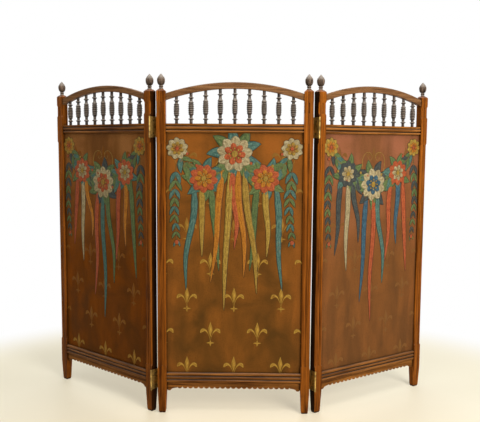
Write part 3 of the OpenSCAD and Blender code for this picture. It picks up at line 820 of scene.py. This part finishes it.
def ruff(work, dice, centre, radius, count, paints):
    """Broad leaves spread out behind a blossom."""
    turn = dice.random() * math.pi
    for k in range(count):
        heading = turn + 2 * math.pi * k / count
        start = np.array(centre) + np.array([math.cos(heading), math.sin(heading)]) * radius * 0.40
        bend = dice.choice((-0.6, 0.6))
        paint = paints[k % len(paints)]
        leaf(work, dice, start, heading - bend / 2, radius * 1.20, radius * 0.62, bend, paint, 1)


def blossom(work, dice, centre, radius, outer, inner, heart, layer=5):
    """Two rings of petals round a studded heart."""
    along = np.linspace(0.05, 0.985, PETAL_POINTS)
    for ring, (share, count, paint) in enumerate(((1.0, 9, outer), (0.62, 7, inner))):
        size = radius * share
        turn = dice.random() * math.pi
        for k in range(count):
            heading = turn + 2 * math.pi * k / count
            out = np.array([math.cos(heading), math.sin(heading)])
            start = np.array(centre) + out * size * 0.16
            spine = arc_line(start, heading - 0.15, size * 0.84, 0.3, PETAL_POINTS)
            half = [size * 0.31 * math.sin(math.pi * u ** 1.5) ** 0.6 for u in along]
            height = layer + ring * 4 + k % 2
            outlined(work, spine, half, height, PETAL_DOME, paint, dice.random(), PETAL_CREASE)
    bead_dot(work, centre, radius * 0.20, layer + 8, heart)
    for k in range(8):
        out = 2 * math.pi * k / 8
        at = (centre[0] + math.cos(out) * radius * 0.30, centre[1] + math.sin(out) * radius * 0.30)
        bead_dot(work, at, radius * 0.055, layer + 9, heart, 0.1)


def swag(work, dice, left, right, sag, paints, leaf_length):
    """A festoon of leaves in pairs along a hanging stem, fullest in its middle."""
    span = math.hypot(right[0] - left[0], right[1] - left[1]) + sag
    count = max(6, round(span / (leaf_length * 0.27)))
    ts = np.linspace(0, 1, count)
    line = np.array([
        (left[0] + (right[0] - left[0]) * t, left[1] + (right[1] - left[1]) * t - 4 * sag * t * (1 - t))
        for t in ts
    ])
    strip(work, line, [STEM_HALF["swag"]] * count, LAYER, STEM_DOME["swag"], "stem")
    along = np.gradient(line, axis=0)
    for k, t in enumerate(ts[1:-1], start=1):
        forward = 1 if t < 0.5 else -1
        heading = math.atan2(along[k][1] * forward, along[k][0] * forward)
        full = 0.70 + 0.40 * math.sin(math.pi * t)
        for side in (-1, 1):
            splay = side * dice.uniform(0.55, 0.95)
            length = leaf_length * full * dice.uniform(0.85, 1.12)
            paint = paints[(k + (side > 0)) % len(paints)]
            leaf(work, dice, line[k], heading + splay, length, length * 0.38, -side * 0.45, paint)
        if k % 3 == 1:
            aside = np.array([-along[k][1], along[k][0]])
            aside /= np.linalg.norm(aside)
            spot = line[k] + aside * dice.choice((-1, 1)) * leaf_length * 0.42
            bead_dot(work, spot, BERRY, 6, dice.choice(("coral", "gold")))


def spray(work, dice, start, length, paints, leaf_length):
    """A hanging spray: a bowed stem with pairs of small leaves and a bud at its end."""
    bow = dice.uniform(-0.012, 0.012)
    count = max(5, round(length / (leaf_length * 0.60)))
    line = smooth_line([start, (start[0] + bow, start[1] - length / 2), (start[0], start[1] - length)], count)
    strip(work, line, [STEM_HALF["spray"]] * count, LAYER, STEM_DOME["spray"], "stem")
    for k in range(1, count):
        size = leaf_length * (1.05 - 0.55 * k / count)
        for side in (-1, 1):
            heading = -math.pi / 2 + side * dice.uniform(0.55, 0.80)
            leaf(work, dice, line[k], heading, size, size * 0.34, -side * 0.5, paints[k % len(paints)])
    bead_dot(work, (line[-1][0], line[-1][1] - 0.007), BUD, 5, "coral")


def tendril(work, start, heading, size, turn):
    """A thin curl that springs from the garland."""
    out = [np.array(start, dtype=float)]
    for t in np.linspace(0, 1, CURL_POINTS):
        angle = heading + turn * t ** 1.6 * 7.0
        step = size * 0.085 * (1 - 0.70 * t)
        out.append(out[-1] + np.array([math.cos(angle), math.sin(angle)]) * step)
    strip(work, out, np.linspace(*CURL_HALF, len(out)), LAYER * 0.5, CURL_DOME, "gold", 0.2)


def centre_garland(work, dice):
    """Two swags between five blossoms, with straps falling from the middle and from each swag."""
    top, sag, sizes = GARLAND_TOP["centre"], GARLAND_SAG["centre"], CENTRE_BLOSSOMS
    for side in (-1, 1):
        for lean, length, paint in SWAG_STRAPS:
            start = (side * (SWAG_MIDDLE + 0.006 + lean), top - sag)
            strap(work, dice, start, length, STRAP_W["swag"], lean * side, paint, 1)
        start = (side * (CENTRE_SHOULDER + 0.003), top - 0.04)
        spray(work, dice, start, SPRAY_DROP["centre"], ("green", "teal"), SPRAY_LEAF["centre"])
    for lean, length, paint in MIDDLE_STRAPS:
        start, layer = (lean * 0.8, top - 0.03), 1.5 + abs(lean) * 20
        strap(work, dice, start, length, STRAP_W["middle"], lean * 1.1, paint, layer)
    for side in (-1, 1):
        shoulder, foot = side * CENTRE_SHOULDER, (side * SWAG_MIDDLE, top - sag - 0.004)
        swag(work, dice, (shoulder, top), (0.0, top - 0.004), sag, ("green", "teal", "green"), SWAG_LEAF)
        ruff(work, dice, foot, sizes["foot"], 7, ("green", "teal"))
        blossom(work, dice, foot, sizes["foot"], "coral", "orange", "gold")
        blossom(work, dice, (shoulder, top + 0.012), sizes["shoulder"], "cream", "gold", "coral")
        tendril(work, (side * 0.066, top - 0.045), math.pi / 2 + side * 0.5, 0.080, side)
        tendril(work, (side * 0.150, top - 0.050), math.pi / 2 - side * 0.4, 0.075, -side)
    middle = (0.0, top - 0.006)
    ruff(work, dice, middle, sizes["middle"], 9, ("teal", "green"))
    blossom(work, dice, middle, sizes["middle"], "cream", "coral", "gold")


def wing_garland(work, dice, middle, left, right):
    """One deep swag with a blossom at its foot and one on each shoulder, and straps from all three."""
    top, sag, sizes = GARLAND_TOP["wing"], GARLAND_SAG["wing"], WING_BLOSSOMS
    for at, colours, lengths in (
        ((-WING_SHOULDER, top - sag * 0.72), left, (0.29, 0.35, 0.25)),
        ((WING_SHOULDER, top - sag * 0.72), right, (0.33, 0.27, 0.38)),
        ((0.0, top - sag), middle, (0.44, 0.52, 0.38)),
    ):
        for k, (length, paint) in enumerate(zip(lengths, colours)):
            lean = (k - 1) * 0.030
            start = (at[0] + lean * 0.9, at[1])
            strap(work, dice, start, length, STRAP_W["wing"], lean, paint, 1 + 0.6 * k)
    for side in (-1, 1):
        start = (side * WING_CORNER, top - 0.03)
        spray(work, dice, start, SPRAY_DROP["wing"], ("green", "slate"), SPRAY_LEAF["wing"])
    corners = (-WING_CORNER, top), (WING_CORNER, top)
    swag(work, dice, *corners, sag, ("green", "slate", "green", "teal"), SWAG_LEAF)
    for side, colours in ((-1, left), (1, right)):
        shoulder, corner = (side * WING_SHOULDER, top - sag * 0.70), (side * 0.208, top + 0.008)
        ruff(work, dice, shoulder, sizes["shoulder"], 7, ("green", "teal"))
        blossom(work, dice, shoulder, sizes["shoulder"], colours[0], "cream", "gold")
        blossom(work, dice, corner, sizes["corner"], "gold", "orange", "coral")
        tendril(work, (side * 0.050, top - sag + 0.045), math.pi / 2 - side * 0.3, 0.090, side)
    foot = (0.0, top - sag - 0.004)
    ruff(work, dice, foot, sizes["foot"], 9, ("green", "slate"))
    blossom(work, dice, foot, sizes["foot"], "cream", middle[0], "gold")


OLD_PAINTS = {paint: old_paint(f"{paint} paint", shades) for paint, shades in PAINTS.items()}
for seed, fold in enumerate(FOLDS, start=FIRST_SEED):
    work = start_work()
    dice = random.Random(seed)
    if fold == "centre":
        centre_garland(work, dice)
    else:
        wing_garland(work, dice, *WING_COLOURS[fold])
    finish_work(f"{fold}_painted_garland", fold, work, OLD_PAINTS)

# APRONS
# Under each bottom rail is glued a thin board with a row of scallops sawn along its lower edge and a
# bracket at each post. The scallops are pared away from behind, so daylight shows between them.

apron_low, apron_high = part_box("centre_apron")
APRON_W = apron_high.x - apron_low.x
SCALLOPS = 21
SCALLOP_DROP = 0.0065
BRACKET_W = 0.037
BRACKET_DROP = 0.008
BRACKET_LOBE = 0.009
LOBE_SLOPE = 20.0
PARED_UP = 0.0035
STEP_W = 0.0002


def scallop_edge():
    """The row of scallops from its left end to its right, as (across, up) from the scallops' tips."""
    pitch = (APRON_W - 2 * BRACKET_W) / SCALLOPS
    bow = (pitch ** 2 / 4 + SCALLOP_DROP ** 2) / (2 * SCALLOP_DROP)
    edge = []
    for k in range(SCALLOPS):
        middle = (k + 0.5 - SCALLOPS / 2) * pitch
        for v in np.linspace(-pitch / 2, pitch / 2, 11)[min(k, 1):]:
            edge.append((middle + v, bow - math.sqrt(bow ** 2 - v ** 2)))
    return edge


def bracket_edge():
    """A bracket's lower edge from its post inwards: a full lobe, then a hollow sweep up."""
    slope = math.radians(LOBE_SLOPE)
    join = BRACKET_LOBE * (1 + math.cos(slope)), BRACKET_LOBE * (1 - math.sin(slope)) - BRACKET_DROP
    run, rise = BRACKET_W - join[0], SCALLOP_DROP / 3 - join[1]
    sweep = (run ** 2 + rise ** 2) / (2 * rise)
    edge = []
    for u in np.linspace(0.0, join[0], 14):
        lobe = BRACKET_LOBE - math.sqrt(max(0.0, BRACKET_LOBE ** 2 - (u - BRACKET_LOBE) ** 2))
        edge.append((u, min(join[1], lobe - BRACKET_DROP)))
    for u in np.linspace(join[0], BRACKET_W - STEP_W, 10)[1:]:
        edge.append((u, SCALLOP_DROP / 3 - sweep + math.sqrt(sweep ** 2 - (BRACKET_W - u) ** 2)))
    return edge


def saw_apron(fold):
    """The apron as a closed board whose scallops slope up from its front face to its back."""
    tips = apron_low.z + BRACKET_DROP
    left = [(u - APRON_W / 2, z, z) for u, z in bracket_edge()]
    right = [(-x, z, back) for x, z, back in reversed(left)]
    row = [(x, z, SCALLOP_DROP + PARED_UP) for x, z in scallop_edge()]
    points = []
    for x, z, back in left + row + right:
        points += [
            (x, apron_low.y, apron_high.z), (x, apron_low.y, tips + z),
            (x, apron_high.y, tips + back), (x, apron_high.y, apron_high.z),
        ]
    last = len(points) - 4
    faces = [(3, 2, 1, 0), (last, last + 1, last + 2, last + 3)]
    for a in range(0, last, 4):
        for k in range(4):
            n = (k + 1) % 4
            faces.append((a + k, a + n, a + 4 + n, a + 4 + k))
    marks = [(point[0], point[2]) for point in points]
    apron = lay_mesh(fold + "_sawn_apron", points, faces, marks, fold)
    apron.data.polygons.foreach_set("use_smooth", [False] * len(apron.data.polygons))
    apron.data.materials.append(rail_woods[fold])
    return apron


for fold in FOLDS:
    apron = saw_apron(fold)
    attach(apron, FOLD_BODY[fold])
    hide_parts(fold + "_apron")

# HINGES AND SCREWS
# Four double-action hinges of cast and rolled brass, with countersunk brass screws.
# The plates have gone brown and dull, and the knuckles are bright where hands have rubbed them.

BRASS_DULL = (0.170, 0.090, 0.016)
BRASS_BRIGHT = (0.600, 0.390, 0.110)
BRASS_DIRT = (0.020, 0.014, 0.006)
BRASS_EDGE = 0.0008
BRASS_HOLLOW = 0.004
BRASS_RUBBED = 1.5
SCREW_BRIGHT = 0.7
SCRATCH_DEPTH = 0.0002


def aged_brass(name, bright):
    """Brass stained brown and dull, bright again where it is rubbed, with dirt in its hollows."""
    made, tree, shader = start_finish(name)
    worn = place_group(tree, WORN_EDGES, Width=BRASS_EDGE, Reach=BRASS_HOLLOW)
    place = add(tree, "TexCoord").outputs["Object"]
    stain = spread(tree, grain_noise(tree, place, 70.0, 6.0, 0.4), 0.34, 0.62)
    colour = tint(tree, stain, bright, BRASS_DULL)
    colour = lay_on(tree, colour, worn["Edge"], 0.8, [min(1.0, c * BRASS_RUBBED) for c in bright])
    colour = lay_on(tree, colour, worn["Hollow"], 0.7, BRASS_DIRT)
    rough = spread(tree, stain, 0.0, 1.0, 0.28, 0.52)
    scratch = grain_noise(tree, place, 900.0, 2.0)
    set_surface(tree, shader, colour, rough, scratch, 0.15, SCRATCH_DEPTH, 0.5)
    tree.links.new(spread(tree, stain, 0.0, 1.0, 1.0, 0.6), shader.inputs["Metallic"])
    return made


hinge_brass = aged_brass("hinge brass", BRASS_BRIGHT)
screw_brass = aged_brass("screw brass", [c * SCREW_BRIGHT for c in BRASS_BRIGHT])
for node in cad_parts:
    if "_hinge_" in node:
        finish_node(node, hinge_brass)
    elif node.endswith("_screws"):
        finish_node(node, screw_brass)

# FLOOR, LIGHT AND CAMERA
# The screen stands on a plain pale floor that fades to white behind it. A broad window at the front
# right gives most of the light, so the left fold is in shade, and the camera is where the picture was
# taken.

MIDDLE = (cad_low + cad_high) / 2
FLOOR_SIZE = 12.0
# Painted shade: the floor is darker and warmer near the screen, as painted shadow and warm bounce.
FLOOR_NEAR_SHADED = (0.820, 0.680, 0.475)
FLOOR_FAR = (0.860, 0.800, 0.640)
FLOOR_GLOW = (1.000, 0.910, 0.660)
WHITE = (1.0, 1.0, 1.0)
GLOW_NEAR = 0.28
FADE_START = 1.20
FADE_END = 1.75
ROOM_COLOUR = (0.96, 0.98, 1.0)
ROOM_LIGHT = 0.20
LAMPS = {
    "window": {"at": (2.3, -2.6, 1.8), "size": (1.8, 2.0), "power": 112.0, "aim": (0.2, 0.1, 0.65)},
    "ceiling": {"at": (0.4, -0.6, 3.4), "size": (4.0, 2.6), "power": 84.0, "aim": (0.4, 0.0, 0.0)},
    "far wall": {"at": (0.2, 3.8, 2.2), "size": (3.0, 2.0), "power": 36.0, "aim": (0.3, 0.2, 0.7)},
}
CAMERA_AT = (0.304, -2.3805, 0.9642)
CAMERA_YAW = 0.692
CAMERA_PITCH = -5.595
CAMERA_ROLL = -0.345
SENSOR = 36.0
LENS = 51.107


def lay_floor():
    """A wide round floor. Seen by the camera or in a gloss, it glows a little and fades to white."""
    mesh = bpy.data.meshes.new("floor")
    sheet = bmesh.new()
    bmesh.ops.create_circle(sheet, cap_ends=True, segments=96, radius=FLOOR_SIZE)
    bmesh.ops.translate(sheet, verts=sheet.verts, vec=(MIDDLE.x, MIDDLE.y, 0.0))
    sheet.to_mesh(mesh)
    sheet.free()
    made, tree, shader = start_finish("pale floor")
    place = add(tree, "TexCoord").outputs["Object"]
    away = add(tree, "VectorMath", {0: place, 1: (MIDDLE.x, MIDDLE.y - 0.45, 0.0)}, operation="DISTANCE")
    fade = add(tree, "MapRange", {
        "Value": away.outputs["Value"], "From Min": FADE_START, "From Max": FADE_END,
    }, interpolation_type="SMOOTHSTEP").outputs["Result"]
    cloudy = spread(tree, grain_noise(tree, place, 2.0, 2.0), 0.3, 0.7)
    # Painted shadow and warm bounce near the screen, fading out farther away.
    colour = tint(tree, spread(tree, away.outputs["Value"], 0.25, 0.95), FLOOR_NEAR_SHADED, FLOOR_FAR)
    colour = lay_on(tree, colour, cloudy, 0.3, [c * 0.95 for c in FLOOR_FAR])
    tree.links.new(colour, shader.inputs["Base Color"])
    shader.inputs["Roughness"].default_value = 0.45
    shader.inputs["Specular IOR Level"].default_value = 0.2
    glow = add(tree, "Emission", {"Color": tint(tree, fade, FLOOR_GLOW, WHITE), "Strength": 1.0})
    rays = add(tree, "LightPath").outputs
    seen = reckon(tree, "MAXIMUM", rays["Is Camera Ray"], rays["Is Glossy Ray"])
    faded = reckon(tree, "MULTIPLY", spread(tree, fade, 0.0, 1.0, GLOW_NEAR, 1.0), seen)
    mixed = add(tree, "MixShader", {0: faded, 1: shader.outputs[0], 2: glow.outputs[0]})
    output = next(n for n in tree.nodes if n.type == "OUTPUT_MATERIAL")
    tree.links.new(mixed.outputs[0], output.inputs["Surface"])
    mesh.materials.append(made)
    floor = bpy.data.objects.new("floor", mesh)
    bpy.context.scene.collection.objects.link(floor)


def light_room():
    """A dim even light on the screen, in a room that itself is seen as white."""
    world = bpy.data.worlds.new("room")
    bpy.context.scene.world = world
    world.use_nodes = True
    tree = world.node_tree
    tree.nodes.clear()
    rays = add(tree, "LightPath").outputs
    mirrored = reckon(tree, "MAXIMUM", rays["Is Glossy Ray"], rays["Is Transmission Ray"])
    seen = reckon(tree, "MAXIMUM", rays["Is Camera Ray"], mirrored)
    soft = add(tree, "Background", {"Color": (*ROOM_COLOUR, 1.0), "Strength": ROOM_LIGHT})
    white = add(tree, "Background", {"Color": (*WHITE, 1.0), "Strength": 1.0})
    mixed = add(tree, "MixShader", {0: seen, 1: soft.outputs[0], 2: white.outputs[0]})
    output = tree.nodes.new("ShaderNodeOutputWorld")
    tree.links.new(mixed.outputs[0], output.inputs["Surface"])


def hang_lamp(name, at, size, power, aim):
    """A soft rectangular lamp that faces the place it is aimed at."""
    lamp = bpy.data.lights.new(name, "AREA")
    lamp.shape = "RECTANGLE"
    lamp.size, lamp.size_y = size
    lamp.energy = power
    made = bpy.data.objects.new(name, lamp)
    made.location = at
    made.rotation_euler = (Vector(aim) - Vector(at)).to_track_quat("-Z", "Y").to_euler()
    bpy.context.scene.collection.objects.link(made)


def set_camera():
    """The camera faces the centre fold squarely, and is then turned by its yaw, pitch and roll."""
    turn = (
        Matrix.Rotation(math.radians(CAMERA_YAW), 3, "Z")
        @ Matrix.Rotation(math.radians(CAMERA_PITCH), 3, "X")
        @ Matrix.Rotation(math.radians(CAMERA_ROLL), 3, "Y")
        @ Matrix.Rotation(math.radians(90.0), 3, "X")
    )
    camera = bpy.data.objects.new("camera", bpy.data.cameras.new("camera"))
    camera.data.lens = LENS
    camera.data.sensor_width = SENSOR
    camera.matrix_world = Matrix.Translation(CAMERA_AT) @ turn.to_4x4()
    bpy.context.scene.collection.objects.link(camera)
    bpy.context.scene.camera = camera


lay_floor()
light_room()
for name, lamp in LAMPS.items():
    hang_lamp(name, **lamp)
set_camera()
bpy.context.scene.view_settings.view_transform = "Standard"
